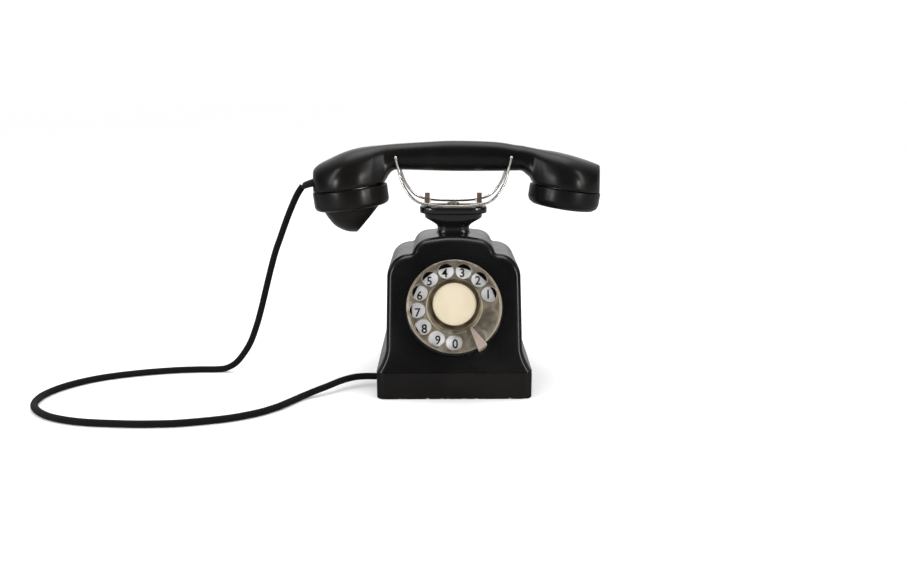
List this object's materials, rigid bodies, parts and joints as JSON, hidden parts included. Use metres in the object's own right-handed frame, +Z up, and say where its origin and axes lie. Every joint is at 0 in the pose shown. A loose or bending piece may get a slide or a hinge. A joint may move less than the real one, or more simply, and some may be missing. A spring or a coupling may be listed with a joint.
{
  "type": "rotary dial telephone",
  "caption": "Desk telephone with a leaning metal case on a plinth, a rotary dial, a wire cradle on a pedestal, and a handset with a curved mouth horn on a fabric cord.",
  "frame": {"origin": "Middle of the plinth's underside, on the surface the telephone stands on", "axes": "X runs to the right as seen from the front, the front faces -Y, Z is up"},
  "size_m": [0.4562, 0.2279, 0.2007],
  "materials": {
    "plinth_paint": "matte",
    "black_enamel": "gloss",
    "bakelite": "gloss",
    "aged_nickel": "satin",
    "nickel_wire": "gloss",
    "old_brass": "satin",
    "brass": "satin",
    "white_enamel": "gloss",
    "cream_paper": "matte",
    "clear_cover": "gloss",
    "rusty_steel": "matte",
    "dull_steel": "satin",
    "screw_steel": "satin",
    "spring_steel": "satin",
    "spring_silver": "satin",
    "bell_metal": "satin",
    "winding": "matte",
    "tinned_can": "satin",
    "black_board": "matte",
    "black_rubber": "matte",
    "cord_braid": "matte"
  },
  "bodies": {
    "base": {"plinth": "plinth_paint", "bottom_plate": "dull_steel", "bottom_screws": "screw_steel", "case_shell": "black_enamel", "case_screws": "screw_steel", "pedestal": "black_enamel", "pedestal_screws": "screw_steel", "dial_cup": "black_enamel", "number_plate": "white_enamel", "finger_stop": "aged_nickel", "dial_frame": "brass", "dial_screws": "screw_steel", "spring_drum": "brass", "governor_cup": "brass", "pulse_contacts": "spring_silver", "hook_bracket": "dull_steel", "hook_contacts": "spring_silver", "gong_left": "bell_metal", "gong_right": "bell_metal", "gong_posts": "dull_steel", "gong_screws": "screw_steel", "ringer_frame": "dull_steel", "ringer_coils": "winding", "induction_coil": "winding", "capacitor": "tinned_can", "terminal_block": "black_board", "terminal_screws": "brass", "cord_grommet": "black_rubber", "line_grommet": "black_rubber", "handset_cord_table": "cord_braid", "cradle_spring": "spring_steel"},
    "dial": {"finger_wheel": "aged_nickel", "card_ring": "old_brass", "card": "cream_paper", "card_cover": "clear_cover", "dial_shaft": "dull_steel", "mainspring": "spring_steel", "main_gear": "brass"},
    "impulse": {"pulse_pinion": "brass"},
    "governor": {"governor": "brass"},
    "cradle": {"cradle_front_wire": "nickel_wire", "cradle_rear_wire": "nickel_wire", "cradle_bars": "nickel_wire", "guide_posts": "rusty_steel", "cradle_bridge": "old_brass", "plunger_rod": "dull_steel"},
    "hook": {"hook_lever": "dull_steel"},
    "clapper": {"clapper": "dull_steel"},
    "handset": {"handset_body": "bakelite", "ear_cap": "bakelite", "receiver": "tinned_can", "mouth_cap": "bakelite", "transmitter": "tinned_can", "cord_sleeve": "black_rubber", "handset_cord_drop": "cord_braid"}
  },
  "joints": [
    {"name": "dial_turn", "type": "hinge", "parent": "base", "child": "dial", "pos_m": [0, -0.05958, 0.069], "axis": [0, 0.91, -0.4147], "range_deg": [0, 316], "stiffness_Nm_per_rad": 0.012, "springref_deg": -34.38},
    {"name": "impulse_turn", "type": "hinge", "parent": "base", "child": "impulse", "pos_m": [-0.00987, -0.03988, 0.08328], "axis": [0, -0.91, 0.4147], "range_deg": [0, 2060]},
    {"name": "governor_turn", "type": "hinge", "parent": "base", "child": "governor", "pos_m": [-0.009, -0.05108, 0.04425], "axis": [1, 0, 0], "range_deg": [0, 4120]},
    {"name": "handset_lift", "type": "slide", "parent": "base", "child": "handset", "axis": [0, 0, 1], "range_m": [0, 0.04]},
    {"name": "cradle_rise", "type": "slide", "parent": "base", "child": "cradle", "axis": [0, 0, 1], "range_m": [0, 0.006]},
    {"name": "hook_turn", "type": "hinge", "parent": "base", "child": "hook", "pos_m": [0, 0.026, 0.0869], "axis": [-1, 0, 0], "range_deg": [0, 11]},
    {"name": "clapper_swing", "type": "hinge", "parent": "base", "child": "clapper", "pos_m": [0, 0.027, 0.051], "axis": [0, 1, 0], "range_deg": [-5, 5], "stiffness_Nm_per_rad": 0.003}
  ],
  "couplings": [
    {"joint": "impulse_turn", "follows": "dial_turn", "ratio": 6.5},
    {"joint": "governor_turn", "follows": "dial_turn", "ratio": 13},
    {"joint": "cradle_rise", "follows": "handset_lift", "ratio": 0.15},
    {"joint": "hook_turn", "follows": "handset_lift", "rad_per_m": 4.712}
  ]
}
